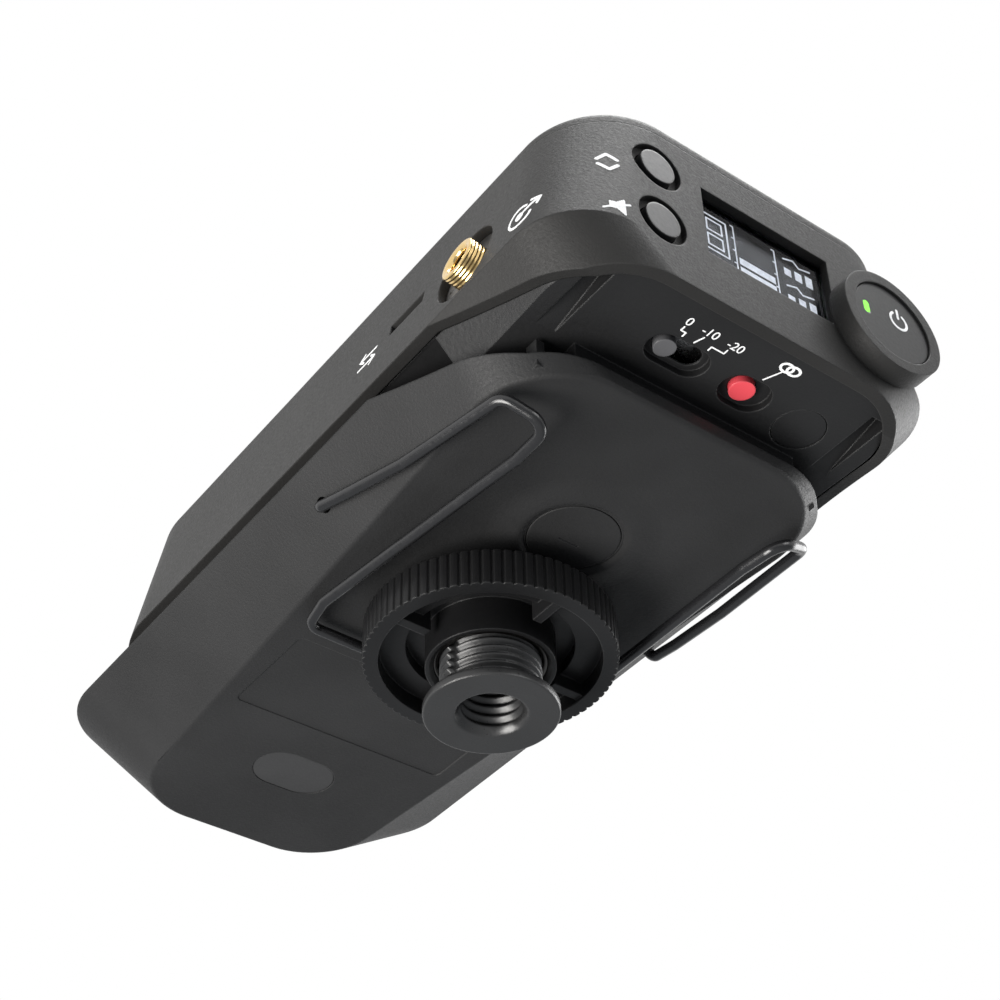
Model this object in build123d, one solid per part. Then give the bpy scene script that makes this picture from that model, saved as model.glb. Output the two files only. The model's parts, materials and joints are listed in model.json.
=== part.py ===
from build123d import *
import math
import os

# Camera-mount wireless audio receiver, millimetres. Origin: centre of the camera foot's lower face.
# +Z points away from the foot, the display end faces -Y, the sockets are on the -X side.
# The battery door is drawn slid open, as it is when the level switch is being set.

# Outer body
HALF_LOW = 33.9
HALF_TOP = 28.03
Z_DOOR_SHUT = 19.9
Z_TOP = 51.7
Y_FRONT = -59.5
R_FRONT = 10.5
R_TOP_EDGE = 2.0
R_TOP_EXTRA = 2.0
WALL = 1.8
GAP = 0.3
FLANK_DRAFT = math.atan((HALF_LOW - HALF_TOP) / (Z_TOP - Z_DOOR_SHUT))

# Plan of each half: front line, front corner radius, far line, far corner radius, extra half-width
HOUSING_PLAN = (Y_FRONT, R_FRONT, 58.0, 15.0, 0.0)
DOOR_PLAN = (-57.7, 10.0, 59.6, 13.0, 0.3)

# Sloped flanks of the door and the rim that meets them
FLAT_FRONT = 26.3
FLAT_BACK = 18.2
FLAT_END = 57.6
R_FLAT_BACK = 12.0
R_FLAT_FRONT = 13.0
Z_SIDE_RIM = 28.5
Z_FRONT_RIM = 22.8
RIM_DIP = (-54.0, -31.0)
Z_JOINT = 48.9

# Door travel from shut to open
SLIDE_Y = 13.3
SLIDE_Z = 2.0
DOOR_SKIN = 1.4
DOOR_WALL = 1.9
Z_DOOR = Z_DOOR_SHUT - SLIDE_Z
PLATE_TOP = 20.0

# Rear chassis: label floor, battery box
Z_FLOOR = 24.0
PLATE = 1.5
BOX_HALF = 18.2
BOX_FRONT = -42.9
BOX_BACK = 48.0
Z_BOX = 21.6
BAY = (-40.6, 15.6)
BAY_HALF = 15.4
CELL_R = 7.25
CELL_LENGTH = 50.5
CELL_Z = 23.0 + CELL_R
SLOT_X = 22.8
SLOT_W = 2.8
SLOT_Y = (-54.7, BOX_FRONT)
SLOT_DEPTH = 2.9
HOOK_X = (21.7, 22.95)
HOOK_Y = (-41.2, -39.2)
HOOK_TOP = 23.3

# Foot and locking wheel
FOOT_R = 9.25
FOOT_T = 1.35
THREAD_R = 4.0
THREAD_DEPTH = 9.5
STUD_R = 7.0
KEYWAY = (1.6, 1.0)
WHEEL_R = 17.5
WHEEL_Z = (8.64, 14.2)
RIM_W = 2.2
LOBES = 76
LOBE_DEPTH = 0.35
COLLAR_R = 8.95
COLLAR_Z = 7.64
COLLAR_BORE = 7.45
INSERT_BORE = STUD_R + 0.06

# Display end
WINDOW = (1.0, 37.15, 21.8, 12.2)
KEY_X = -17.1
KEY_Z = {"channel_button": 42.2, "mute_button": 32.1}
KEY_R = 2.7
KEY_DISH_R = 3.8
POWER = (19.4, 33.8)
RING_R = 8.4
RING_OUT = 3.0
POWER_R = 6.5

# Socket side
JACK = (-37.7, 34.8)
JACK_DISH_R = 5.8
BUSH_R = 3.2
JACK_BORE_R = 1.8
USB = (-23.8, 38.1, 7.8, 2.3)

# Label floor controls
KNOB = (-8.4, -48.5)
KNOB_TRAVEL = 4.0
PAIR = (4.6, -48.3)
PAIR_R = 1.75
CAP = (15.2, -47.4)
CAP_R = 3.6

# Door details
RELEASE = (0.0, -18.9)
RELEASE_R = 6.3
PAD = (-0.6, 50.4, 13.1, 9.0)
LABEL = (0.0, 29.5, 36.0, 18.0)

# Wire clip
WIRE_R = 0.8
CLIP_PIVOT = (28.0, -0.9, 22.4)


def box(x, y, z):
    """A block between pairs of limits."""
    size = [b - a for a, b in (x, y, z)]
    middle = [(a + b) / 2 for a, b in (x, y, z)]
    return Pos(*middle) * Box(*size)


def disc(x, y, z, r):
    """A cylinder along Z between two heights."""
    return Pos(x, y, (z[0] + z[1]) / 2) * Cylinder(r, z[1] - z[0])


def rod_y(x, y, z, r):
    """A cylinder along Y between two stations."""
    return Pos(x, (y[0] + y[1]) / 2, z) * Rot(90, 0, 0) * Cylinder(r, y[1] - y[0])


def beyond(origin, normal, size=240):
    """A large block that fills the outside of a plane."""
    return Plane(origin=origin, z_dir=normal) * Pos(0, 0, size / 2) * Box(size, size, size)


def outline(z, front, back, halves, radii):
    """Plan outline at one height, with its own half-width and corner radius at each end."""
    (front_half, back_half), (r_front, r_back) = halves, radii
    points = [(-front_half, front), (front_half, front), (back_half, back), (-back_half, back)]
    sketch = make_face(Polyline(*points, close=True))
    sketch = fillet(sketch.vertices().group_by(Axis.Y)[0], r_front)
    return Pos(0, 0, z) * fillet(sketch.vertices().group_by(Axis.Y)[-1], r_back)


def tub(inset, plan=HOUSING_PLAN):
    """The closed body's outer form moved in by a wall: sloped underside, then drafted flanks."""
    front, r_front, back, r_back, extra = plan
    at_rim = HALF_LOW + extra - (Z_SIDE_RIM - Z_DOOR_SHUT) * math.tan(FLANK_DRAFT)
    far = min(FLAT_END, back - 0.4)
    stations = [
        (Z_DOOR_SHUT, far, (FLAT_FRONT, FLAT_BACK), (R_FLAT_FRONT, R_FLAT_BACK)),
        (Z_SIDE_RIM, back, (at_rim, at_rim), (r_front, r_back)),
        (Z_TOP, back, (HALF_TOP, HALF_TOP), (r_front + R_TOP_EXTRA, r_back)),
    ]
    sections = []
    for z, end, halves, corners in stations:
        moved = [half - inset for half in halves]
        radii = [corner - inset for corner in corners]
        sections.append(outline(z, front + inset, end - inset, moved, radii))
    return loft(sections[:2], ruled=True) + loft(sections[1:], ruled=True)


def above_rim(drop=0.0):
    """Everything above the line where the housing's rim meets the door."""
    low, high = Z_FRONT_RIM - drop, Z_SIDE_RIM - drop
    points = [(-80, low), (RIM_DIP[0], low), (RIM_DIP[1], high), (80, high), (80, 90), (-80, 90)]
    side = Plane.YZ * make_face(Polyline(*points, close=True))
    return extrude(side, 60, both=True)


def on_flank(y, z):
    """A frame on the socket side's drafted flank, with its Z along the outward normal."""
    x = -(HALF_LOW - (z - Z_DOOR_SHUT) * math.tan(FLANK_DRAFT))
    outward = (-math.cos(FLANK_DRAFT), 0, math.sin(FLANK_DRAFT))
    return Plane(origin=(x, y, z), x_dir=(0, -1, 0), z_dir=outward)


def housing_shell():
    """Band round the body: drafted flanks, display end, openings for keys, window and sockets."""
    shell = tub(0) & above_rim()
    shell -= tub(WALL)
    shell -= box((-60, 60), (-80, 80), (Z_JOINT, 90))
    x, z, width, height = WINDOW
    shell -= box((x - width / 2, x + width / 2), (Y_FRONT - 1, Y_FRONT + 9), (z - height / 2, z + height / 2))
    for height in KEY_Z.values():
        shell -= rod_y(KEY_X, (Y_FRONT - 1, Y_FRONT + 1.1), height, KEY_DISH_R)
        shell -= rod_y(KEY_X, (Y_FRONT - 1, Y_FRONT + 9), height, KEY_R + 0.15)
    shell -= rod_y(POWER[0], (Y_FRONT - 1, Y_FRONT + 9), POWER[1], RING_R - 1.25)
    shell -= on_flank(*JACK) * Pos(0, 0, 0) * Cylinder(JACK_DISH_R, 12)
    y, z, length, height = USB
    shell -= on_flank(y, z) * Box(length, height, 12)
    return shell


def top_shell():
    """Cap over the far side, joined to the band by a flat seam, with four screw bosses inside."""
    outer = tub(0)
    outer = fillet(outer.faces().sort_by(Axis.Z)[-1].edges(), R_TOP_EDGE)
    cap = outer & box((-60, 60), (-80, 80), (Z_JOINT, 90))
    cap -= tub(WALL) & box((-60, 60), (-80, 80), (0, Z_TOP - WALL + 0.3))
    for x, y in screw_places():
        cap += disc(x, y, (39.5, Z_TOP - 1.0), 2.6)
        cap -= disc(x, y, (39.0, 46.0), 1.0)
    return cap


def screw_places():
    """Case screw axes, mirrored left and right."""
    return [(side * 23.2, y) for y in (-10.0, 38.0) for side in (-1, 1)]


def rear_chassis():
    """Label floor and battery box in one moulding, set inside the band with a fine gap."""
    inset = WALL + GAP
    inner = tub(inset)
    pocket = tub(inset + PLATE)
    tray = inner & box((-60, 60), (-80, -30), (Z_FLOOR, 30.5))
    tray -= box((-60, 60), (-80, -52), (26.2, 40))
    tray -= pocket & box((-60, 60), (-80, -30 - PLATE), (Z_FLOOR + PLATE, 40))
    tray += inner & box((-60, 60), (-30.1, 80), (29.0, 30.5))
    tray += box((-BOX_HALF, BOX_HALF), (BOX_FRONT, BOX_BACK), (Z_BOX, 30.5))
    tray += box((-BOX_HALF, BOX_HALF), (BOX_FRONT, BAY[1] + PLATE), (30, CELL_Z + CELL_R + 0.3 + PLATE))
    tray -= box((-BAY_HALF, BAY_HALF), BAY, (Z_BOX - 1, CELL_Z + CELL_R + 0.3))
    hollow = (BAY[1] + PLATE, BOX_BACK - PLATE)
    tray -= box((-BOX_HALF + PLATE, BOX_HALF - PLATE), hollow, (Z_BOX + PLATE, 40))
    tray += slot_walls()
    tray -= slot_ramps()
    x, y = KNOB
    tray -= recess(x + KNOB_TRAVEL / 2, y, 9.4, 5.0, 1.2)
    tray -= slot_hole(x + KNOB_TRAVEL / 2, y, KNOB_TRAVEL + 3.4, 3.4)
    tray -= recess(PAIR[0] + 0.4, PAIR[1], 7.6, 5.6, 1.2)
    tray -= disc(*PAIR, (Z_FLOOR - 1, 27), PAIR_R + 0.12)
    tray -= disc(*CAP, (Z_FLOOR - 1, Z_FLOOR + 0.9), CAP_R + 0.12)
    for x, y in screw_places():
        tray -= disc(x, y, (20, 32), 1.3)
    y, z = JACK
    return tray - box((-40, -BOX_HALF - 1.2), (y - 6.4, y + 6.4), (28.9, z + 8))


def slot_walls():
    """Blocks behind the floor that the hook slots are sunk into."""
    return [
        box((x - 2.4, x + 2.4), (SLOT_Y[0] - 1.2, SLOT_Y[1] + 1), (Z_FLOOR + 1, Z_FLOOR + SLOT_DEPTH + 1.2))
        for x in (-SLOT_X, SLOT_X)
    ]


def slot_ramps():
    """Ramped slots that lead the door's hooks out as it slides open."""
    z_low, z_high = Z_FLOOR - 0.5, Z_FLOOR + SLOT_DEPTH
    points = [(SLOT_Y[0], z_low), (SLOT_Y[0], z_high), (SLOT_Y[1], Z_FLOOR), (SLOT_Y[1], z_low)]
    ramp = extrude(Plane.YZ * make_face(Polyline(*points, close=True)), SLOT_W / 2, both=True)
    return [Pos(x, 0, 0) * ramp for x in (-SLOT_X, SLOT_X)]


def recess(x, y, length, width, depth):
    """Shallow round-ended recess in the label floor."""
    shape = Pos(x, y) * SlotOverall(length, width)
    return Pos(0, 0, Z_FLOOR - 1) * extrude(shape, depth + 1)


def slot_hole(x, y, length, width):
    """Round-ended hole through the label floor."""
    return Pos(0, 0, Z_FLOOR - 1) * extrude(Pos(x, y) * SlotOverall(length, width), 5)


def battery_door():
    """Sliding door: flat back with sloped flanks, hooks, latch frame, clip sockets and the foot's seat."""
    form = tub(0, DOOR_PLAN)
    form = fillet(form.faces().sort_by(Axis.Z)[0].edges(), 0.8)
    door = form - above_rim(GAP)
    hollow = tub(DOOR_WALL, DOOR_PLAN)
    door -= hollow - box((-60, 60), (-90, 90), (0, Z_DOOR_SHUT + DOOR_SKIN))
    door = Pos(0, SLIDE_Y, -SLIDE_Z) * door
    for side in (-1, 1):
        hook = tuple(sorted(side * x for x in HOOK_X))
        door += box(hook, HOOK_Y, (Z_DOOR + 1, HOOK_TOP))
    door -= clip_wire(WIRE_R + 0.35) & box((-60, 60), (-10, 5), (0, 40))
    for place in foot_screw_places():
        door -= place * disc(0, 0, (Z_DOOR + 0.4, 30), 0.52)
    door -= disc(*RELEASE, (Z_DOOR - 1, Z_DOOR + 4), RELEASE_R + 0.12)
    door -= disc(0, 0, (Z_DOOR - 1, Z_DOOR + 4), STUD_R + 0.02)
    x, y, length, width = PAD
    door -= Pos(0, 0, Z_DOOR - 1) * extrude(Pos(x, y) * SlotOverall(length, width), 1.7)
    x, y, length, width = LABEL
    door -= Pos(0, 0, Z_DOOR - 1) * extrude(Pos(x, y) * RectangleRounded(length, width, 1.0), 1.15)
    return door


def door_pad():
    """Oval inlay near the door's far end."""
    x, y, length, width = PAD
    shape = Pos(x, y) * SlotOverall(length - 0.1, width - 0.1)
    return Pos(0, 0, Z_DOOR + 0.1) * extrude(shape, 0.6)


def foot():
    """Turned camera foot: disc, threaded stud with a keyway, tapped hole for a stand."""
    part = disc(0, 0, (0, FOOT_T), FOOT_R)
    part += disc(0, 0, (FOOT_T, PLATE_TOP), STUD_R)
    part -= disc(0, 0, (-1, THREAD_DEPTH), THREAD_R)
    width, depth = KEYWAY
    keyway = box((STUD_R - depth, STUD_R + 1), (-width / 2, width / 2), (FOOT_T + 0.4, 17.6))
    return part - Rot(0, 0, 180 + 5) * keyway


def foot_screw_places():
    """Where the three screws of the backing plate stand."""
    return [Rot(0, 0, angle + 30) * Pos(8.3, 0, 0) for angle in range(0, 360, 120)]


def foot_plate():
    """Steel backing plate inside the door, clamped to the stud's shoulder."""
    plate = disc(0, 0, (Z_DOOR + DOOR_SKIN, PLATE_TOP), 9.6)
    plate -= disc(0, 0, (19, 21), STUD_R + 0.02)
    for place in foot_screw_places():
        plate -= place * disc(0, 0, (19, 21), 0.52)
    return plate


def foot_screws():
    """Three small screws that hold the backing plate to the door."""
    screw = disc(0, 0, (Z_DOOR + 0.5, PLATE_TOP), 0.5) + disc(0, 0, (PLATE_TOP, PLATE_TOP + 0.3), 0.95)
    return [place * screw for place in foot_screw_places()]


def wheel_profile(radius, depth, count):
    """Knurled outline: shallow round lobes with narrow grooves between them."""
    points = []
    for i in range(count):
        for share, r in ((-0.5, radius - depth), (-0.3, radius - depth * 0.12), (0, radius), (0.3, radius - depth * 0.12)):
            angle = 2 * math.pi * (i + share) / count
            points.append((r * math.cos(angle), r * math.sin(angle)))
    return make_face(Polyline(*points, close=True))


def shoe_wheel():
    """Knurled locking wheel: rim, web with four ribs, deep ring round the collar."""
    low, high = WHEEL_Z
    wheel = Pos(0, 0, low) * extrude(wheel_profile(WHEEL_R, LOBE_DEPTH, LOBES), high - low)
    wheel -= disc(0, 0, (low - 1, high - 1.1), WHEEL_R - RIM_W)
    web = disc(0, 0, (low + 2.6, high), WHEEL_R - RIM_W + 0.1)
    web -= disc(0, 0, (low, high - 1.1), 11.6)
    wheel += web
    for angle in range(0, 360, 90):
        wheel += Rot(0, 0, angle) * box((10.4, WHEEL_R - RIM_W + 0.2), (-0.7, 0.7), (low + 0.5, high - 0.5))
    wheel += disc(0, 0, (COLLAR_Z, high), COLLAR_R)
    wheel -= disc(0, 0, (COLLAR_Z - 1, high + 1), COLLAR_BORE + GAP)
    wheel -= Pos(0, 0, COLLAR_Z + 0.3) * Cone(COLLAR_BORE + 1.0, COLLAR_BORE + 0.2, 0.7)
    return wheel


def wheel_insert():
    """Threaded steel ring that carries the wheel along the stud."""
    ring = disc(0, 0, (COLLAR_Z + 0.7, WHEEL_Z[1] - 0.1), COLLAR_BORE + GAP - 0.06)
    return ring - disc(0, 0, (0, 20), INSERT_BORE)


def release_button():
    """Round latch button in the door, with a short engraved bar and a retaining flange."""
    skin = Z_DOOR + DOOR_SKIN
    button = disc(*RELEASE, (Z_DOOR - 0.1, skin + 0.1), RELEASE_R)
    button -= box((-1.6, 1.6), (RELEASE[1] + 0.9, RELEASE[1] + 1.25), (Z_DOOR - 1, Z_DOOR + 0.1))
    return button + disc(*RELEASE, (skin + 0.05, skin + 0.45), RELEASE_R + 0.8)


def release_spring():
    """Leaf spring riveted on the latch button, its feet bent down to the door's skin."""
    skin = Z_DOOR + DOOR_SKIN
    y = (RELEASE[1] - 1.4, RELEASE[1] + 1.4)
    leaf = box((-9.6, 9.6), y, (skin + 0.45, skin + 0.7))
    return leaf + [box((x - 0.9, x + 0.9), y, (skin + 0.05, skin + 0.5)) for x in (-8.7, 8.7)]


def clip_wire(radius):
    """The clip's path, swept with a chosen wire radius."""
    px, py, pz = CLIP_PIVOT
    right = [(px - 2.7, py, pz + 2.9), (px + 0.95, py, pz - 1.05), (px + 0.3, py - 5.6, pz - 2.4)]
    right += [(26.8, -18.0, 17.8), (24.9, -36.6, 15.9), (19.0, -38.2, 12.9), (18.6, -31.0, 13.2)]
    right += [(21.0, 9.6, 15.8), (19.8, 15.4, 16.0)]
    left = [(-x, y, z) for x, y, z in reversed(right)]
    bends = [1.2, 3.0, 6.0, 2.2, 2.2, 6.0, 3.0, 2.2]
    path = FilletPolyline(*right, *left, radius=bends + bends[::-1])
    start = Plane(origin=path @ 0, z_dir=path % 0)
    return sweep(start * Circle(radius), path=path, transition=Transition.ROUND)


def belt_clip():
    """One-piece spring-wire clip: hooked ends, outer legs, raised bends, inner legs and cross bar."""
    return clip_wire(WIRE_R)


def display_lens():
    """Clear window flush behind the bevelled opening of the display end."""
    x, z, width, height = WINDOW
    lens = box((x - width / 2 + 0.1, x + width / 2 - 0.1), (Y_FRONT + 1.1, Y_FRONT + 1.9),
               (z - height / 2 + 0.1, z + height / 2 - 0.1))
    return lens


def display_module():
    """Panel with its frame behind the window."""
    x, z, width, height = WINDOW
    return box((x - width / 2 + 0.2, x + width / 2 - 0.2), (Y_FRONT + 2.0, Y_FRONT + 4.2),
               (z - height / 2 + 0.2, z + height / 2 - 0.2))


def power_ring():
    """Round boss that stands out of the display end round the power key."""
    x, z = POWER
    ring = rod_y(x, (Y_FRONT - RING_OUT, Y_FRONT), z, RING_R)
    ring += rod_y(x, (Y_FRONT - 0.1, Y_FRONT + 2.6), z, RING_R - 1.3)
    return ring - rod_y(x, (Y_FRONT - 9, Y_FRONT + 9), z, POWER_R + 0.15)


def power_button():
    """Power key: round cap with a slot for its light pipe, and a stem."""
    x, z = POWER
    cap = rod_y(x, (Y_FRONT - RING_OUT + 0.3, Y_FRONT + 1.4), z, POWER_R)
    cap += rod_y(x, (Y_FRONT + 1.3, Y_FRONT + 4.4), z, 1.6)
    return cap - light_slot(0.0)


def light_slot(shrink):
    """Round-ended bar for the light pipe, standing on end beside the power symbol."""
    x, z = POWER[0] - 4.4, POWER[1] + 0.6
    bar = Plane.XZ * Pos(x, z) * Rot(0, 0, 90) * SlotOverall(2.2 - shrink, 1.1 - shrink)
    return Pos(0, Y_FRONT - RING_OUT + 0.1, 0) * extrude(bar, -2.6)


def power_light_pipe():
    """Green light pipe set in the power key."""
    bar = light_slot(0.06)
    return bar & box((-50, 50), (Y_FRONT - RING_OUT + 0.3, 0), (0, 60))


def end_key(height):
    """Small round key in a dished recess of the display end, with a retaining flange."""
    cap = rod_y(KEY_X, (Y_FRONT - 0.1, Y_FRONT + 2.6), height, KEY_R)
    return cap + rod_y(KEY_X, (Y_FRONT + 2.4, Y_FRONT + 3.4), height, KEY_R + 0.7)


def jack_bushing():
    """Gilt threaded bushing of the audio output."""
    frame = on_flank(*JACK)
    bush = frame * Pos(0, 0, -0.8) * Cylinder(BUSH_R, 4.4)
    bush -= frame * Pos(0, 0, -0.8) * Cylinder(JACK_BORE_R, 6)
    return bush


def jack_plate():
    """Sunk round plate round the bushing, with two spanner notches."""
    frame = on_flank(*JACK)
    plate = frame * Pos(0, 0, -1.8) * Cylinder(JACK_DISH_R - 0.1, 1.0)
    plate -= frame * Pos(0, 0, -1.8) * Cylinder(BUSH_R, 3)
    for side in (-1, 1):
        plate -= frame * Pos(side * 4.6, 0, -1.4) * Box(1.0, 0.8, 0.6)
    return plate


def jack_body():
    """Moulded body of the output socket behind its plate."""
    frame = on_flank(*JACK)
    body = frame * Pos(0, 0, -7.55) * Box(7.4, 7.4, 9.0)
    return body - frame * Pos(0, 0, -5) * Cylinder(JACK_BORE_R, 15)


def usb_socket():
    """Metal shell of the data socket, open to the side."""
    y, z, length, height = USB
    frame = on_flank(y, z)
    shell = frame * Pos(0, 0, -4.0) * Box(length - 0.2, height - 0.1, 5.4)
    return shell - frame * Pos(0, 0, -3.0) * Box(length - 0.9, height - 0.8, 6.0)


def level_switch():
    """Body of the three-way level switch behind the label floor."""
    x = KNOB[0] + KNOB_TRAVEL / 2
    return box((x - 5.2, x + 5.2), (KNOB[1] - 2.6, KNOB[1] + 2.6), (27.3, 29.6))


def level_knob():
    """Sliding round knob of the level switch, at the first of its three stops."""
    x, y = KNOB
    return disc(x, y, (Z_FLOOR + 0.2, 25.9), 1.5) + box((x - 1.6, x + 1.6), (y - 2.3, y + 2.3), (25.8, 27.0))


def pair_button():
    """Recessed round pairing button with a flange."""
    return disc(*PAIR, (Z_FLOOR + 0.25, 25.9), PAIR_R) + disc(*PAIR, (25.75, 26.7), PAIR_R + 0.9)


def port_cap():
    """Plain round cap let into the label floor."""
    return disc(*CAP, (Z_FLOOR + 0.1, Z_FLOOR + 0.85), CAP_R)


def main_board():
    """Circuit board over the battery box, notched for the screw bosses."""
    board = box((-24.5, 24.5), (-52.0, 43.5), (40.0, 41.6))
    for x, y in screw_places():
        board -= disc(x, y, (39, 43), 3.0)
    return board


def board_parts():
    """Shield cans and chips on the main board."""
    places = [(-9, -20, 16, 20, 2.6), (11, -16, 12, 12, 1.8), (12, 8, 9, 9, 1.4), (-10, 12, 14, 10, 2.0)]
    return [box((x - w / 2, x + w / 2), (y - d / 2, y + d / 2), (41.6, 41.6 + h)) for x, y, w, d, h in places]


def key_board():
    """Small upright board behind the display end."""
    return box((-24.0, 26.0), (Y_FRONT + 6.4, Y_FRONT + 7.4), (29.6, 47.0))


def key_switches():
    """Tactile switches behind the three end keys and the pairing button."""
    y = Y_FRONT + 6.4
    centres = [(KEY_X, z, 3.6) for z in KEY_Z.values()] + [(POWER[0], POWER[1], 5.4)]
    stack = []
    for x, z, reach in centres:
        stack.append(box((x - 2.2, x + 2.2), (y - 1.2, y), (z - 2.2, z + 2.2)))
        stack[-1] += rod_y(x, (Y_FRONT + reach + 0.9 if reach < 5 else y - 1.3, y - 1.1), z, 0.9)
    x, y = PAIR
    pair = box((x - 2.2, x + 2.2), (y - 2.2, y + 2.2), (28.6, 29.8)) + disc(x, y, (27.5, 28.7), 0.9)
    return stack + [pair]


def control_board():
    """Small board over the label floor that carries the level and pairing switches."""
    return box((-13.5, 9.0), (-51.8, -43.4), (29.8, 30.8))


def antenna(side):
    """Flat folded antenna strip standing beside the main board."""
    x = side * 25.6
    strip = box((x - 0.3, x + 0.3), (-4, 32), (42.0, 47.0))
    for y in range(0, 30, 8):
        strip -= box((x - 1, x + 1), (y, y + 4), (43.4, 47.5))
    return strip


def battery_cell(side):
    """AA cell lying along the bay, its raised cap at alternate ends."""
    y = (sum(BAY) - CELL_LENGTH) / 2
    x = side * (CELL_R + 0.25)
    cell = rod_y(x, (y, y + CELL_LENGTH - 1.2), CELL_Z, CELL_R - 0.05)
    cell += rod_y(x, (y + CELL_LENGTH - 1.3, y + CELL_LENGTH), CELL_Z, 2.7)
    if side > 0:
        cell = Pos(2 * x, 2 * y + CELL_LENGTH, 0) * Rot(0, 0, 180) * cell
    return cell


def contact_spring(side):
    """Coiled negative contact, drawn as stacked rings, with its tab."""
    x = side * (CELL_R + 0.25)
    wall = BAY[0] if side < 0 else BAY[1]
    inward = 1 if side < 0 else -1
    rings = []
    for i in range(4):
        y = wall + inward * (0.75 + 0.52 * i)
        ring = Pos(x, y, CELL_Z) * Rot(90, 0, 0) * Torus(3.4 - 0.45 * i, 0.3)
        rings.append(ring)
    tab = box((x - 4, x + 4), sorted((wall + inward * 0.1, wall + inward * 0.5)), (CELL_Z - 4, CELL_Z + 4))
    return tab + rings


def battery_springs():
    """Both negative contacts."""
    return [contact_spring(side) for side in (-1, 1)]


def battery_plates():
    """Both positive contacts: plates with a dimple towards the cell's cap."""
    plates = []
    for side, wall, inward in ((-1, BAY[1], -1), (1, BAY[0], 1)):
        x = side * (CELL_R + 0.25)
        plate = box((x - 4, x + 4), sorted((wall + inward * 0.1, wall + inward * 0.5)), (CELL_Z - 4, CELL_Z + 4))
        dimple = rod_y(x, sorted((wall + inward * 0.45, wall + inward * 2.7)), CELL_Z, 2.2)
        plates.append(plate + dimple)
    return plates


def case_screws():
    """Four screws through the chassis into the top shell's bosses."""
    shaft = disc(0, 0, (27.0, 45.0), 0.95) + disc(0, 0, (26.6, 28.9), 2.1)
    slot = box((-0.3, 0.3), (-1.5, 1.5), (26.0, 27.2))
    return [Pos(x, y, 0) * (shaft - slot) for x, y in screw_places()]


def spacers():
    """Spacer posts that carry the main board on the chassis."""
    places = [(side * 16.9, y) for y in (-35.0, 12.0) for side in (-1, 1)]
    top = CELL_Z + CELL_R + 0.3 + PLATE
    return [disc(x, y, (top, 40.0), 1.2) for x, y in places]


NODES = {
    "battery_door": battery_door,
    "door_pad": door_pad,
    "foot": foot,
    "foot_plate": foot_plate,
    "foot_screws": foot_screws,
    "shoe_wheel": shoe_wheel,
    "wheel_insert": wheel_insert,
    "release_button": release_button,
    "release_spring": release_spring,
    "belt_clip": belt_clip,
    "housing_shell": housing_shell,
    "top_shell": top_shell,
    "rear_chassis": rear_chassis,
    "display_lens": display_lens,
    "display_module": display_module,
    "power_ring": power_ring,
    "power_button": power_button,
    "power_light_pipe": power_light_pipe,
    "channel_button": lambda: end_key(KEY_Z["channel_button"]),
    "mute_button": lambda: end_key(KEY_Z["mute_button"]),
    "jack_bushing": jack_bushing,
    "jack_plate": jack_plate,
    "jack_body": jack_body,
    "usb_socket": usb_socket,
    "level_switch": level_switch,
    "level_knob": level_knob,
    "pair_button": pair_button,
    "port_cap": port_cap,
    "main_board": main_board,
    "board_parts": board_parts,
    "key_board": key_board,
    "key_switches": key_switches,
    "control_board": control_board,
    "antenna_left": lambda: antenna(-1),
    "antenna_right": lambda: antenna(1),
    "battery_cell_left": lambda: battery_cell(-1),
    "battery_cell_right": lambda: battery_cell(1),
    "battery_springs": battery_springs,
    "battery_plates": battery_plates,
    "case_screws": case_screws,
    "board_spacers": spacers,
}

os.makedirs("parts", exist_ok=True)
for name, make in NODES.items():
    made = make()
    solids = [s for piece in made for s in piece.solids()] if isinstance(made, list) else made.solids()
    whole = solids[0] if len(solids) == 1 else Compound(children=list(solids))
    export_step(whole, f"parts/{name}.step")
    print(f"{name}: {len(solids)} solid(s)")
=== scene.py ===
import json
import math

import bmesh
import bpy
from mathutils import Matrix, Vector


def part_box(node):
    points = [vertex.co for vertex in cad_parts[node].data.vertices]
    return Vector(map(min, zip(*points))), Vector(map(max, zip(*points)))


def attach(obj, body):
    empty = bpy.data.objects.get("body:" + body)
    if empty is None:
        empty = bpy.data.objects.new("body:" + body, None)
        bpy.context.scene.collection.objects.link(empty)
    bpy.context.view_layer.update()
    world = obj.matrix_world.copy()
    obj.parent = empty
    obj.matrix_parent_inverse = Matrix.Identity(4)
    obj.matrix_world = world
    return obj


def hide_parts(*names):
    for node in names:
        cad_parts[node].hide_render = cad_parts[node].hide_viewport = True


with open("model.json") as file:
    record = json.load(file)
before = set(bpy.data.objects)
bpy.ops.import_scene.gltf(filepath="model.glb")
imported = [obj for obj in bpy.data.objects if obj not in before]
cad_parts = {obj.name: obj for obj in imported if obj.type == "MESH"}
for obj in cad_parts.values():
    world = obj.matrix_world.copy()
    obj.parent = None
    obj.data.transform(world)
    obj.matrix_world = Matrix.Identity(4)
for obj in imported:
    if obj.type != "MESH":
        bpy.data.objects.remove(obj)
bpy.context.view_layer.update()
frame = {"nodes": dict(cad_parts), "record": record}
MM = 0.001
EDGE_ROUND = 0.0003

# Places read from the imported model, in millimetres
MOUNTS = {m["name"]: m for m in frame["record"]["mounts"]}


def limits(node):
    """A node's lowest and highest corners, in millimetres."""
    low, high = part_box(node)
    return [v / MM for v in low], [v / MM for v in high]


END_Y = limits("housing_shell")[0][1]
FLOOR_Z = limits("rear_chassis")[0][2] + 2.4
DOOR_Z = limits("battery_door")[0][2]
FOOT_HIGH = limits("foot")[1]
STUD_R = 7.0
DISC_R = FOOT_HIGH[0]
DISC_T = 1.35
HOLE_R = MOUNTS["foot_thread"]["dims"]["r_mm"]
HOLE_DEPTH = 9.5
MOUTH_R = 5.0

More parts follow.
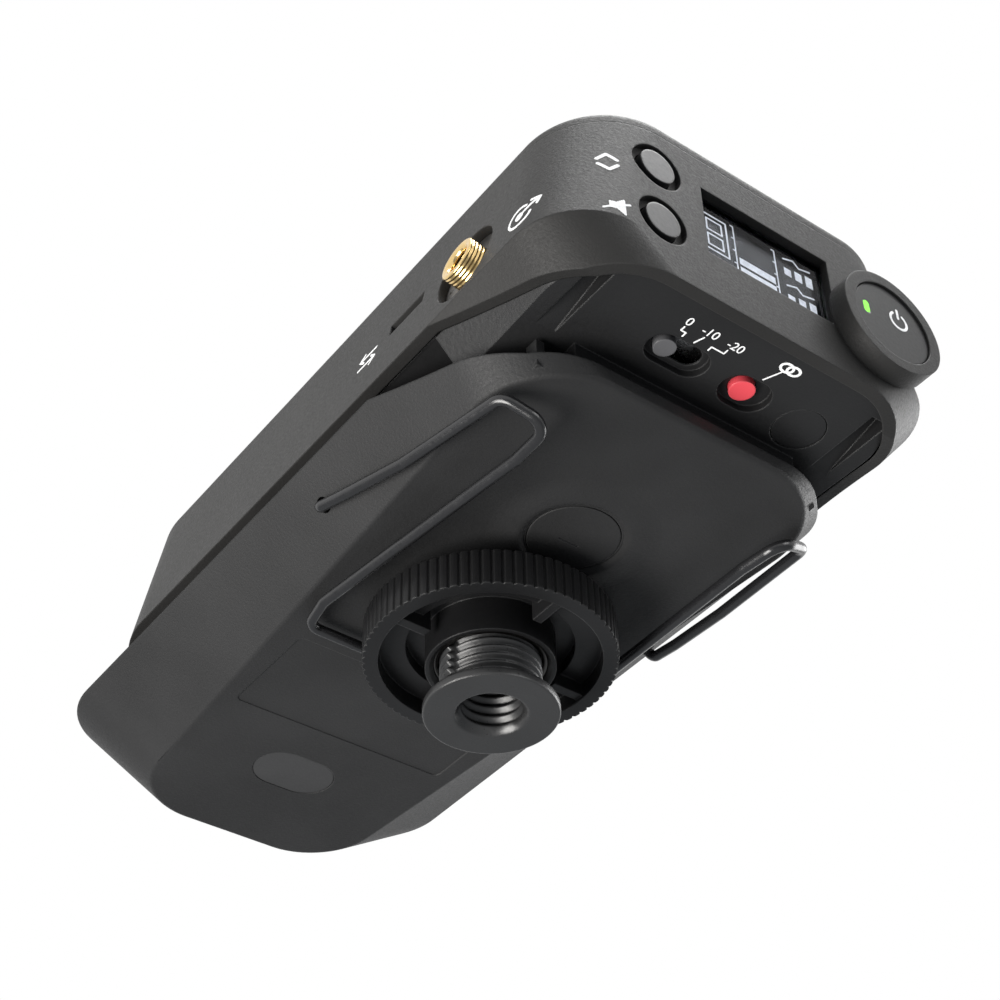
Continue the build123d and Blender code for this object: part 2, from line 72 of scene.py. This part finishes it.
# Camera: place in millimetres, angles in degrees, lens in millimetres
CAMERA_PLACE = (-129.92, -173.96, -152.25)
AZIMUTH, ELEVATION, ROLL = (math.radians(a) for a in (-37.22, -41.23, -1.29))
LENS, SENSOR = 71.46, 36.0


# ---------------------------------------------------------------- materials
def shader(name, **inputs):
    """A material with its Principled shader's own sockets set."""
    mat = bpy.data.materials.new(name)
    mat.use_nodes = True
    node = mat.node_tree.nodes["Principled BSDF"]
    for key, value in inputs.items():
        node.inputs[key.replace("_", " ")].default_value = value
    return mat, mat.node_tree, node


def link(tree, source, target):
    tree.links.new(source, target)


def noise(tree, scale, detail=3.0, rough=0.55):
    """Noise in the object's own coordinates."""
    place = tree.nodes.new("ShaderNodeTexCoord")
    node = tree.nodes.new("ShaderNodeTexNoise")
    node.inputs["Scale"].default_value = scale
    node.inputs["Detail"].default_value = detail
    node.inputs["Roughness"].default_value = rough
    link(tree, place.outputs["Object"], node.inputs["Vector"])
    return node.outputs["Fac"]


def ramp(tree, source, low, high, start=0.3, end=0.7):
    """A two-stop colour ramp; low and high are colours or greys."""
    node = tree.nodes.new("ShaderNodeValToRGB")
    for stop, place, colour in zip(node.color_ramp.elements, (start, end), (low, high)):
        stop.position = place
        stop.color = (*colour, 1) if isinstance(colour, tuple) else (colour, colour, colour, 1)
    link(tree, source, node.inputs["Fac"])
    return node.outputs["Color"]


def edge_wear_and_highlight(tree):
    """A rounded normal for moulded edges, and a factor that is 1 where a surface turns: it marks the edges
    that get a paler colour, partly wear and partly a painted highlight.
    """
    bevel = tree.nodes.new("ShaderNodeBevel")
    bevel.samples = 4
    bevel.inputs["Radius"].default_value = EDGE_ROUND
    face = tree.nodes.new("ShaderNodeNewGeometry")
    dot = tree.nodes.new("ShaderNodeVectorMath")
    dot.operation = "DOT_PRODUCT"
    link(tree, bevel.outputs["Normal"], dot.inputs[0])
    link(tree, face.outputs["Normal"], dot.inputs[1])
    return bevel.outputs["Normal"], ramp(tree, dot.outputs["Value"], 1.0, 0.0, 0.8, 0.97)


def bump(tree, principled, height, strength, distance, normal=None):
    node = tree.nodes.new("ShaderNodeBump")
    if normal:
        link(tree, normal, node.inputs["Normal"])
    node.inputs["Strength"].default_value = strength
    node.inputs["Distance"].default_value = distance
    link(tree, height, node.inputs["Height"])
    link(tree, node.outputs["Normal"], principled.inputs["Normal"])


def grained(name, colour, rough=(0.45, 0.6), grain=2600, strength=0.35, wear_and_highlight=0.02, level=0.4):
    """Moulded plastic: spark-eroded grain, slight colour drift, paler edges that are partly wear and partly
    a painted highlight.
    """
    mat, tree, node = shader(name, Specular_IOR_Level=level)
    fine = noise(tree, grain, 4.0, 0.6)
    cloud = noise(tree, 45, 3.0)
    dark, pale = (tuple(c * k for c in colour) for k in (0.82, 1.18))
    tone = ramp(tree, cloud, dark, pale)
    bevel, worn_and_highlit = edge_wear_and_highlight(tree)
    # Paler colour along edges: partly wear, partly a painted highlight standing in for bright edge lines.
    mix = tree.nodes.new("ShaderNodeMix")
    mix.data_type = "RGBA"
    link(tree, worn_and_highlit, mix.inputs["Factor"])
    link(tree, tone, mix.inputs["A"])
    mix.inputs["B"].default_value = (*(c + wear_and_highlight for c in colour), 1)
    link(tree, mix.outputs["Result"], node.inputs["Base Color"])
    link(tree, ramp(tree, fine, rough[0], rough[1]), node.inputs["Roughness"])
    bump(tree, node, fine, strength, 0.00006, bevel)
    return mat


def metal(name, colour, rough=(0.2, 0.35), scratch=900, strength=0.15, coat=0.0):
    """Metal with fine scratches and uneven polish."""
    mat, tree, node = shader(name, Metallic=1.0, Coat_Weight=coat)
    fine = noise(tree, scratch, 5.0, 0.7)
    dark, pale = (tuple(c * k for c in colour) for k in (0.88, 1.08))
    link(tree, ramp(tree, fine, dark, pale), node.inputs["Base Color"])
    link(tree, ramp(tree, fine, rough[0], rough[1]), node.inputs["Roughness"])
    bump(tree, node, fine, strength, 0.00002)
    return mat


def lit(name, colour, strength):
    """Ink or light that glows in its own colour, with a faint mottle: for the lamp and the screen the glow
    is real, for ink it is a painted glow.
    """
    mat, tree, node = shader(name, Emission_Strength=strength, Roughness=0.6)
    pale = tuple(min(1.0, c * 1.1) for c in colour)
    tone = ramp(tree, noise(tree, 1500), tuple(c * 0.85 for c in colour), pale)
    link(tree, tone, node.inputs["Base Color"])
    link(tree, tone, node.inputs["Emission Color"])
    return mat


def glass(name):
    """Clear window with a trace of smear in its polish."""
    mat, tree, node = shader(name, Transmission_Weight=1.0, IOR=1.12, Base_Color=(0.75, 0.77, 0.8, 1))
    link(tree, ramp(tree, noise(tree, 300), 0.02, 0.06), node.inputs["Roughness"])
    return mat


MATERIALS = {
    "door_plastic": grained("door_plastic", (0.021, 0.021, 0.0215), (0.44, 0.6), strength=0.9, level=0.22),
    "pad_rubber": grained("pad_rubber", (0.034, 0.034, 0.035), (0.5, 0.65), 1800, 0.5),
    "foot_metal": grained("foot_metal", (0.02, 0.02, 0.0205), (0.26, 0.38), 2200, 0.2, 0.03, 0.6),
    "plate_steel": metal("plate_steel", (0.55, 0.55, 0.56)),
    "screw_steel": metal("screw_steel", (0.5, 0.5, 0.52)),
    "wheel_plastic": grained("wheel_plastic", (0.009, 0.009, 0.0095), (0.3, 0.42), 2000, 0.25, 0.02, 0.28),
    "insert_brass": metal("insert_brass", (0.12, 0.115, 0.11), (0.25, 0.4)),
    "spring_steel": metal("spring_steel", (0.6, 0.6, 0.62), (0.15, 0.3)),
    "clip_wire": grained("clip_wire", (0.012, 0.012, 0.013), (0.16, 0.26), 1200, 0.1, 0.02, 0.6),
    "body_plastic": grained("body_plastic", (0.019, 0.0185, 0.018), (0.46, 0.62), strength=0.8, level=0.26),
    "chassis_plastic": grained(
        "chassis_plastic", (0.014, 0.014, 0.0145), (0.36, 0.5), 1500, 0.8, 0.03, 0.26
    ),
    "lens_glass": glass("lens_glass"),
    "display_panel": grained("display_panel", (0.004, 0.004, 0.006), (0.15, 0.25), 800, 0.05, 0.0),
    "key_plastic": grained("key_plastic", (0.014, 0.014, 0.0145), (0.28, 0.4), 1800, 0.2, 0.02, 0.3),
    "light_green": lit("light_green", (0.22, 0.85, 0.06), 0.7),
    "jack_gold": metal("jack_gold", (0.86, 0.62, 0.28), (0.14, 0.28), 1200, 0.1),
    "jack_grey": grained("jack_grey", (0.09, 0.088, 0.085), (0.35, 0.5), 1500, 0.25),
    "jack_black": grained("jack_black", (0.02, 0.02, 0.02)),
    "usb_steel": metal("usb_steel", (0.3, 0.3, 0.3), (0.3, 0.45)),
    "switch_steel": metal("switch_steel", (0.55, 0.55, 0.56)),
    "knob_plastic": grained("knob_plastic", (0.1, 0.1, 0.105), (0.35, 0.5), 1800, 0.2),
    "pair_red": grained("pair_red", (0.72, 0.07, 0.09), (0.3, 0.42), 1800, 0.12, 0.05),
    "board_green": grained("board_green", (0.02, 0.12, 0.05), (0.25, 0.4), 500, 0.2),
    "can_steel": metal("can_steel", (0.6, 0.6, 0.6)),
    "antenna_brass": metal("antenna_brass", (0.7, 0.55, 0.25)),
    "cell_sleeve": metal("cell_sleeve", (0.25, 0.25, 0.27), (0.3, 0.4)),
    # White print glows a little: a painted glow, since ink gives off no light of its own.
    "ink_white": lit("ink_white", (0.85, 0.85, 0.85), 0.12),
    "screen_light": lit("screen_light", (0.72, 0.74, 0.78), 0.55),
}

for entry in frame["record"]["subparts"]:
    node_object = frame["nodes"][entry["node"]]
    node_object.data.materials.clear()
    node_object.data.materials.append(MATERIALS[entry["material_slot"]])


# ---------------------------------------------------------------- mesh helpers
def piece(name, verts, faces, body, material, slot, smooth=True):
    """A mesh piece from points in millimetres, riding a body."""
    mesh = bpy.data.meshes.new(name)
    mesh.from_pydata([Vector(v) * MM for v in verts], [], faces)
    mesh.validate()
    bm = bmesh.new()
    bm.from_mesh(mesh)
    bmesh.ops.recalc_face_normals(bm, faces=bm.faces)
    bm.to_mesh(mesh)
    bm.free()
    mesh.polygons.foreach_set("use_smooth", [smooth] * len(mesh.polygons))
    obj = bpy.data.objects.new(name, mesh)
    bpy.context.scene.collection.objects.link(obj)
    mesh.materials.append(MATERIALS[material])
    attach(obj, body)
    return obj


def rings(profile, turns, place, close_ends=False):
    """Rings of points swept round: profile gives (radius, height) for a share of the turn."""
    verts, faces = [], []
    rows = len(profile(0.0))
    for i in range(turns):
        share = i / turns
        for radius, height in profile(share):
            angle = 2 * math.pi * share
            verts.append(place(radius * math.cos(angle), radius * math.sin(angle), height))
    for i in range(turns):
        for j in range(rows - 1):
            a, b = i * rows + j, (i + 1) % turns * rows + j
            faces.append((a, b, b + 1, a + 1))
    if close_ends:
        faces.append([i * rows for i in range(turns)])
        faces.append([i * rows + rows - 1 for i in range(turns)])
    return verts, faces


def tooth(phase):
    """A rounded 60-degree thread form, 0 at the root and 1 at the crest."""
    rise = 1 - abs(2 * (phase % 1.0) - 1)
    return min(1.0, max(0.0, (rise - 0.14) / 0.72))


def upright(x, y, z):
    return (x, y, z)


# ---------------------------------------------------------------- foot
STUD_PITCH = 1.25
HOLE_PITCH = 25.4 / 16


def foot_profile(share):
    """Section of the foot at one share of a turn: hole with its thread, disc, threaded stud."""
    rows = []
    steps = 140
    for i in range(steps + 1):
        z = HOLE_DEPTH - (HOLE_DEPTH - 0.9) * i / steps
        depth = 0.62 * (1 - tooth(z / HOLE_PITCH - share))
        rows.append((HOLE_R + depth * min(1.0, (HOLE_DEPTH - z) / 1.0), z))
    rows += [(MOUTH_R - 0.12, 0.12), (MOUTH_R, 0.03), (MOUTH_R + 0.15, 0.0), (MOUTH_R + 0.3, 0.0)]
    edge = 0.28
    rows += [(DISC_R - edge - 0.35, 0.0), (DISC_R - edge - 0.15, 0.0)]
    for i in range(7):
        angle = math.pi / 2 * i / 6
        rows.append((DISC_R - edge + edge * math.sin(angle), edge - edge * math.cos(angle)))
    for i in range(7):
        angle = math.pi / 2 * i / 6
        rows.append((DISC_R - edge + edge * math.cos(angle), DISC_T - edge + edge * math.sin(angle)))
    top = FOOT_HIGH[2]
    groove = abs((share - KEYWAY_SHARE + 0.5) % 1.0 - 0.5) * 2 * math.pi * STUD_R < 0.8
    rows += [(STUD_R - 0.62, DISC_T), (STUD_R - 0.62, DISC_T + 0.3)]
    for i in range(201):
        z = DISC_T + 0.35 + (17.4 - DISC_T) * i / 200
        radius = STUD_R - 0.62 * (1 - tooth(z / STUD_PITCH - share))
        rows.append((STUD_R - 1.05 if groove else radius, z))
    return rows + [(STUD_R - 0.62, 17.9), (STUD_R - 0.62, top)]


KEYWAY_SHARE = 185 / 360
verts, faces = rings(foot_profile, 180, upright, close_ends=True)
foot_piece = piece("foot_turned", verts, faces, "door", "foot_metal", "foot_metal")
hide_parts("foot")


# ---------------------------------------------------------------- wheel insert
def insert_profile(share):
    """Ring with its inner thread showing between the wheel and the stud."""
    low, high = limits("wheel_insert")
    outer = high[0]
    rows = [(outer, low[2]), (outer, high[2])]
    for i in range(91):
        z = high[2] - (high[2] - low[2]) * i / 90
        rows.append((STUD_R + 0.03 + 0.3 * (1 - tooth(z / STUD_PITCH - share + 0.5)), z))
    return rows + [(outer, low[2])]


verts, faces = rings(insert_profile, 144, upright)
insert_piece = piece("insert_threaded", verts, faces, "wheel_carrier", "insert_brass", "insert_brass")
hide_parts("wheel_insert")


# ---------------------------------------------------------------- surfaces that carry icons
def plane(origin, across, up):
    """Maps flat artwork (millimetres) on to a surface; a third value stands out of it."""
    across, up = Vector(across).normalized(), Vector(up).normalized()
    out = across.cross(up)
    return lambda u, v, w=0.0: Vector(origin) + across * u + up * v + out * w


def laid_on(node, on):
    """Drops artwork along the surface's own direction on to a CAD node, so that it follows its curve."""
    target = frame["nodes"][node]

    def place(u, v, w=0.0):
        flat = on(u, v, 0.0)
        out = (on(u, v, 1.0) - flat).normalized()
        found, where, _normal, _index = target.ray_cast((flat + out * 6) * MM, -out)
        return (where / MM if found else flat) + out * w

    return place


PROUD = 0.04
SINK = 0.02
CAP_STEPS = 6
LONGEST_RUN = 0.7


def divided(points):
    """Points with long runs divided, so that a stroke bends with the surface under it."""
    dense = [points[0]]
    for a, b in zip(points, points[1:]):
        parts = max(1, math.ceil(math.dist(a, b) / LONGEST_RUN))
        for i in range(1, parts + 1):
            dense.append((a[0] + (b[0] - a[0]) * i / parts, a[1] + (b[1] - a[1]) * i / parts))
    return dense


def add_slab(verts, faces, outline, on, lift):
    """Adds a thin flat solid: its outline a little proud of the surface and a little sunk in it."""
    base, size = len(verts), len(outline)
    verts += [on(u, v, lift) for u, v in outline] + [on(u, v, -SINK) for u, v in outline]
    faces.append([base + k for k in range(size)])
    for k in range(size):
        after = (k + 1) % size
        faces.append((base + k, base + after, base + size + after, base + size + k))
    faces.append([base + size + k for k in reversed(range(size))])


def stroke_mesh(points, width, on):
    """A flat stroke made of runs with half-round ends. Runs differ a little in height where they cross."""
    verts, faces = [], []
    points = divided(points)
    for i, (start, end) in enumerate(zip(points, points[1:])):
        a, b = Vector(start), Vector(end)
        angle = math.atan2(b.y - a.y, b.x - a.x)
        outline = []
        for centre, first in ((a, angle + math.pi / 2), (b, angle - math.pi / 2)):
            for k in range(CAP_STEPS + 1):
                turn = first + math.pi * k / CAP_STEPS
                u = centre.x + width / 2 * math.cos(turn)
                v = centre.y + width / 2 * math.sin(turn)
                outline.append((u, v))
        add_slab(verts, faces, outline, on, PROUD + 0.0015 * (i % 5))
    return verts, faces


def artwork(name, strokes, width, on, body, material="ink_white", slot="body_plastic"):
    """One piece made of several strokes."""
    verts, faces = [], []
    for points in strokes:
        more, loops = stroke_mesh(points, width, on)
        base = len(verts)
        verts += more
        faces += [[base + k for k in loop] for loop in loops]
    return piece(name, verts, faces, body, material, slot, smooth=False)


def arc(u, v, radius, start, end, steps=18, squash=1.0):
    """Points along an arc, angles in degrees."""
    turn = [math.radians(start + (end - start) * i / steps) for i in range(steps + 1)]
    return [(u + radius * math.cos(t), v + radius * squash * math.sin(t)) for t in turn]


def block(u0, v0, u1, v1):
    """The four corners of an upright rectangle."""
    return [(u0, v0), (u1, v0), (u1, v1), (u0, v1)]


def filled(name, shapes, on, body, material, slot):
    """One piece of flat filled shapes with a small thickness."""
    verts, faces = [], []
    for shape in shapes:
        add_slab(verts, faces, shape, on, PROUD)
    return piece(name, verts, faces, body, material, slot, smooth=False)


end_face = laid_on("housing_shell", plane((0, END_Y, 0), (1, 0, 0), (0, 0, 1)))
label_floor = plane((0, 0, FLOOR_Z), (1, 0, 0), (0, -1, 0))
outward = Vector(MOUNTS["audio_socket"]["axis"])
socket = Vector(MOUNTS["audio_socket"]["pos_m"]) / MM + outward * 0.8
flank_up = (Vector((0, 0, 1)) - outward * outward.z).normalized()
flank = laid_on("housing_shell", plane(socket, (0, -1, 0), flank_up))

# Power symbol on its key: an open ring and a bar
power_low, power_high = limits("power_button")
power_x = (power_low[0] + power_high[0]) / 2
power_z = (power_low[2] + power_high[2]) / 2
key_face = plane((power_x + 1.5, power_low[1], power_z + 1.3), (1, 0, 0), (0, 0, 1))
power_symbol = [arc(0, 0, 1.45, 125, 415), [(0, 0.5), (0, 2.0)]]
artwork("power_symbol", power_symbol, 0.42, key_face, "power_key", slot="key_plastic")

# Channel mark: two arrow heads. Mute mark: a speaker, drawn in close strokes, with a stroke through it
arrow_heads = [
    [(-25.3, 40.0), (-24.2, 41.1), (-23.1, 40.0)],
    [(-25.3, 38.9), (-24.2, 37.8), (-23.1, 38.9)],
]
artwork("channel_mark", arrow_heads, 0.5, end_face, "housing")
cone = [(0.0, 0.5), (0.25, 0.5), (0.5, 0.5), (0.75, 0.5), (1.0, 0.7), (1.25, 0.9), (1.5, 1.1), (1.75, 1.3)]
speaker = [[(-24.9 + step, 30.4 - half), (-24.9 + step, 30.4 + half)] for step, half in cone]
artwork("mute_mark", speaker, 0.34, end_face, "housing")
artwork("mute_stroke", [[(-25.8, 29.5), (-22.3, 31.3)]], 0.34, end_face, "housing")

# Output mark beside the audio socket: a ring round a dot with an arrow leaving it
output_mark = [
    arc(11.9, -2.6, 1.9, 60, 350),
    arc(11.9, -2.6, 0.5, 0, 360),
    [(11.9, -2.6), (14.9, -0.6)],
    [(13.6, -0.4), (14.9, -0.6), (14.6, -1.8)],
]
artwork("output_mark", output_mark, 0.42, flank, "housing")
# Data mark beside the data socket: two opposed arrows
data_mark = [
    [(-24.8, 1.1), (-20.8, 1.1)],
    [(-21.9, 2.0), (-20.8, 1.1), (-21.9, 0.2)],
    [(-20.8, 2.9), (-24.8, 2.9)],
    [(-23.7, 3.8), (-24.8, 2.9), (-23.7, 2.0)],
]
artwork("data_mark", data_mark, 0.36, flank, "housing")

# Leaders of the level switch, and a mark of two linked rings for pairing
leaders = [
    [(-8.9, 52.9), (-8.9, 52.2), (-8.1, 52.2), (-8.1, 51.5)],
    [(-5.7, 52.9), (-6.2, 51.5)],
    [(-1.9, 52.9), (-1.9, 52.2), (-3.9, 52.2), (-3.9, 51.5)],
    [(6.2, 53.9), (5.2, 51.6)],
]
artwork("level_leaders", leaders, 0.2, label_floor, "housing", slot="chassis_plastic")
rings_mark = [arc(6.3, 54.9, 0.95, 0, 360, 18, 0.75), arc(7.4, 54.9, 0.95, 0, 360, 18, 0.75)]
artwork("pairing_mark", rings_mark, 0.36, label_floor, "housing", slot="chassis_plastic")


def number(name, text, u, v, size, on, body):
    """Scale figures, set in Blender's own plain font."""
    curve = bpy.data.curves.new(name, "FONT")
    curve.body = text
    curve.size = size
    curve.align_x = "CENTER"
    curve.extrude = 0.02
    holder = bpy.data.objects.new(name + "_font", curve)
    bpy.context.scene.collection.objects.link(holder)
    bpy.context.view_layer.update()
    flat = bpy.data.meshes.new_from_object(holder.evaluated_get(bpy.context.evaluated_depsgraph_get()))
    verts = [on(u + p.co.x, v + p.co.y, 0.02 + p.co.z) for p in flat.vertices]
    faces = [list(p.vertices) for p in flat.polygons]
    bpy.data.objects.remove(holder)
    return piece(name, verts, faces, body, "ink_white", "chassis_plastic", smooth=False)


for label, text, u in (("level_0", "0", -8.9), ("level_10", "-10", -5.5), ("level_20", "-20", -1.4)):
    number(label, text, u, 53.3, 1.9, label_floor, "housing")


# ---------------------------------------------------------------- display
lens_low, lens_high = limits("display_lens")
panel_y = limits("display_module")[0][1]
screen_x, screen_z = ((lens_low[i] + lens_high[i]) / 2 for i in (0, 2))
screen = plane((screen_x, panel_y, screen_z), (1, 0, 0), (0, 0, 1))


def digit_outline(u, v, width, height, bar):
    """A figure eight drawn as an outline and its two windows."""
    half_w, half_h = width / 2, height / 2
    outer = block(u - half_w, v - half_h, u + half_w, v + half_h)
    loops = [outer + outer[:1]]
    for low, high in ((-half_h + bar, -bar / 2), (bar / 2, half_h - bar)):
        window = block(u - half_w + bar, v + low, u + half_w - bar, v + high)
        loops.append(window + window[:1])
    return loops


ON_SCREEN = (screen, "housing", "screen_light", "display_panel")
artwork("screen_digit", digit_outline(-7.6, 0.9, 4.2, 6.6, 0.85), 0.26, *ON_SCREEN)
meter = [[(-4.6, 4.6), (-4.2, 4.6), (-4.2, -4.8), (2.9, -4.8), (2.9, 4.6), (2.5, 4.6)]]
for near, far in ((-4.6, -4.2), (2.9, 2.5)):
    meter += [[(near, v), (far, v)] for v in (2.3, 0.0, -2.4)]
artwork("screen_meter", meter, 0.2, *ON_SCREEN)
bars = [block(-3.7, -4.3, 2.4, -2.6), block(-3.7, -2.1, 2.4, -0.9)]
filled("screen_bars", bars, *ON_SCREEN)
cells = []
for row in (1.2, -3.9):
    cells += [block(u, row, u + 1.2, row + 1.3 + 0.35 * k) for k, u in enumerate((4.4, 6.3, 8.2))]
filled("screen_cells", cells, *ON_SCREEN)
marks = [[(4.5, v), (6.3, v + 0.6), (7.2, v - 0.3), (9.2, v + 0.2)] for v in (4.2, -0.9)]
artwork("screen_marks", marks, 0.26, *ON_SCREEN)


# ---------------------------------------------------------------- audio socket
def socket_place(x, y, z):
    """Turned parts of the socket lie along its outward axis."""
    up = Vector((0, 0, 1)) - outward * outward.z
    up.normalize()
    return socket + outward.cross(up) * x + up * y + outward * z


def bush_profile(_share):
    """Gilt bushing: threaded outside, lipped mouth, contact rings inside."""
    outer, bore = 3.2, MOUNTS["audio_socket"]["dims"]["r_mm"]
    rows = [(bore + 0.25, -2.9), (bore + 0.25, -1.9), (bore, -1.8), (bore, -0.4)]
    rows += [(bore + 0.3, -0.3), (bore + 0.3, 0.2), (bore, 0.3), (bore, 0.9)]
    rows += [(bore + 0.35, 1.3), (outer - 0.45, 1.4), (outer - 0.25, 1.33)]
    for i in range(33):
        z = 1.2 - 4.0 * i / 32
        rows.append((outer - 0.22 * (1 - tooth(z / 0.5)), z))
    return rows + [(bore + 0.25, -2.9)]


verts, faces = rings(bush_profile, 72, socket_place)
bush_piece = piece("socket_bushing", verts, faces, "housing", "jack_gold", "jack_gold")
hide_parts("jack_bushing")


# ---------------------------------------------------------------- door details
def swell_profile(_share):
    """Soft round swelling of the door's skin about its latch button."""
    inner, outer, height = 6.7, 12.0, 0.6
    rows = []
    for i in range(19):
        share = i / 18
        lift = height * (0.5 + 0.5 * math.cos(math.pi * share)) * min(1.0, share * 6 + 0.15)
        rows.append((inner + (outer - inner) * share, -lift if i < 18 else 0.03))
    return rows


latch_low, latch_high = limits("release_button")
latch_x, latch_y = ((latch_low[i] + latch_high[i]) / 2 for i in (0, 1))
verts, faces = rings(swell_profile, 96, lambda x, y, z: (latch_x + x, latch_y + y, DOOR_Z + z))
piece("latch_swell", verts, faces, "door", "door_plastic", "door_plastic")


# ---------------------------------------------------------------- floor, light, camera
def lamp(name, place, aim, size, power, colour=(1, 1, 1)):
    """A soft square lamp aimed at a point, millimetres."""
    data = bpy.data.lights.new(name, "AREA")
    data.size = size * MM
    data.energy = power
    data.color = colour
    obj = bpy.data.objects.new(name, data)
    obj.location = Vector(place) * MM
    obj.rotation_euler = (Vector(aim) - Vector(place)).to_track_quat("-Z", "Y").to_euler()
    bpy.context.scene.collection.objects.link(obj)


lamp("key_low_left", (-420, 60, -330), (0, 0, 20), 320, 5.0, (1.0, 0.98, 0.95))
lamp("top_soft", (60, -160, 560), (0, 0, 30), 420, 4.2)
lamp("side_right", (480, -60, 120), (0, 0, 30), 300, 1.6)
lamp("front_soft", (60, -560, 160), (0, 0, 30), 260, 0.8)

floor_mesh = bpy.data.meshes.new("floor")
HALF_FLOOR, FLOOR_DROP = 6.0, -0.9
corners = block(-HALF_FLOOR, -HALF_FLOOR, HALF_FLOOR, HALF_FLOOR)
floor_mesh.from_pydata([(x, y, FLOOR_DROP) for x, y in corners], [], [(0, 1, 2, 3)])
floor = bpy.data.objects.new("floor", floor_mesh)
bpy.context.scene.collection.objects.link(floor)
floor_mat, floor_tree, floor_node = shader("floor_pale", Roughness=0.9, Specular_IOR_Level=0.1)
link(floor_tree, ramp(floor_tree, noise(floor_tree, 30), 0.78, 0.82), floor_node.inputs["Base Color"])
floor_mesh.materials.append(floor_mat)

world = bpy.data.worlds.new("studio")
bpy.context.scene.world = world
world.use_nodes = True
tree = world.node_tree
tree.nodes.clear()
rays = tree.nodes.new("ShaderNodeLightPath")
seen = tree.nodes.new("ShaderNodeMath")
seen.operation = "MAXIMUM"
link(tree, rays.outputs["Is Camera Ray"], seen.inputs[0])
link(tree, rays.outputs["Is Transmission Ray"], seen.inputs[1])
seen_too = tree.nodes.new("ShaderNodeMath")
seen_too.operation = "MAXIMUM"
link(tree, seen.outputs["Value"], seen_too.inputs[0])
link(tree, rays.outputs["Is Glossy Ray"], seen_too.inputs[1])
dim, white = tree.nodes.new("ShaderNodeBackground"), tree.nodes.new("ShaderNodeBackground")
dim.inputs["Color"].default_value = (0.9, 0.95, 1.0, 1)
dim.inputs["Strength"].default_value = 0.4
white.inputs["Color"].default_value = (1, 1, 1, 1)
white.inputs["Strength"].default_value = 1.0
blend = tree.nodes.new("ShaderNodeMixShader")
link(tree, seen_too.outputs["Value"], blend.inputs["Fac"])
link(tree, dim.outputs["Background"], blend.inputs[1])
link(tree, white.outputs["Background"], blend.inputs[2])
out = tree.nodes.new("ShaderNodeOutputWorld")
link(tree, blend.outputs["Shader"], out.inputs["Surface"])

camera_data = bpy.data.cameras.new("camera")
camera_data.lens = LENS
camera_data.sensor_width = SENSOR
camera_data.clip_start = 0.01
camera = bpy.data.objects.new("camera", camera_data)
bpy.context.scene.collection.objects.link(camera)
flat = math.cos(ELEVATION)
forward = -Vector((math.sin(AZIMUTH) * flat, -math.cos(AZIMUTH) * flat, math.sin(ELEVATION)))
level_right = forward.cross(Vector((0, 0, 1))).normalized()
level_up = level_right.cross(forward)
right = level_right * math.cos(ROLL) + level_up * math.sin(ROLL)
up = -level_right * math.sin(ROLL) + level_up * math.cos(ROLL)
turned = Matrix((right, up, -forward)).transposed().to_4x4()
camera.matrix_world = Matrix.Translation(Vector(CAMERA_PLACE) * MM) @ turned
bpy.context.scene.camera = camera
bpy.context.scene.view_settings.view_transform = "Standard"
